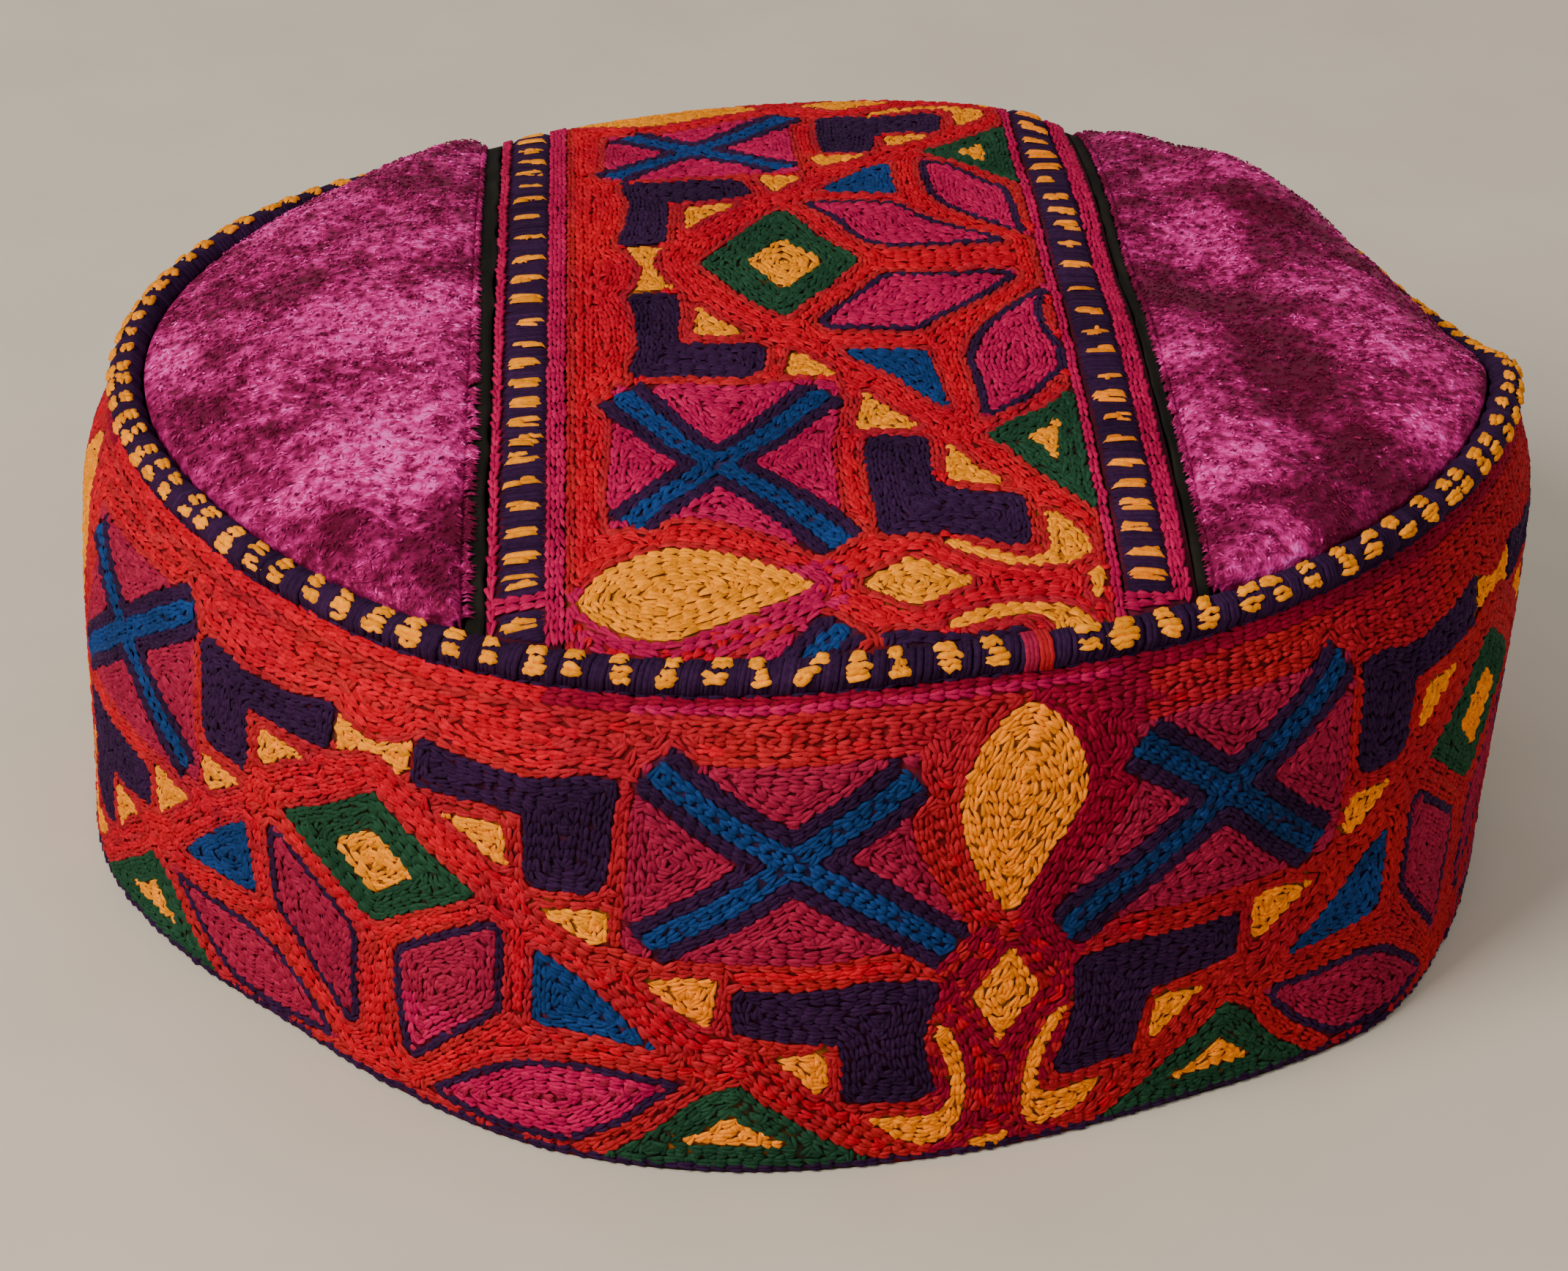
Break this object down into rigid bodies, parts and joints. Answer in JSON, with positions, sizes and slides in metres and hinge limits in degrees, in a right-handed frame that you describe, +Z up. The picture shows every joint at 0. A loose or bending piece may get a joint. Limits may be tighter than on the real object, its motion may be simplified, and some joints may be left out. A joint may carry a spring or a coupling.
{
  "type": "hunza cap",
  "caption": "Soft pillbox cap with an embroidered geometric side band, a piped rim and a crown of one embroidered strip between velvet panels.",
  "frame": {"origin": "centre of the cap's box on the surface that it rests on", "axes": "+Z up, -Y to the front, the crown strip runs along Y"},
  "size_m": [0.1932, 0.191, 0.0787],
  "materials": {
    "band_embroidery": "chain-stitched wool and cotton thread",
    "strip_embroidery": "chain-stitched wool and cotton thread",
    "piping_cord": "thread-wrapped cord",
    "border_thread": "satin-stitched thread",
    "edging_tape": "matt woven tape",
    "velvet": "crushed velvet pile"
  },
  "bodies": {
    "root": {"side_band": "band_embroidery", "rim_piping": "piping_cord", "crown_strip": "strip_embroidery", "ladder_left": "border_thread", "ladder_right": "border_thread", "edging_left": "edging_tape", "edging_right": "edging_tape", "crown_panel_left": "velvet", "crown_panel_right": "velvet"}
  },
  "joints": []
}
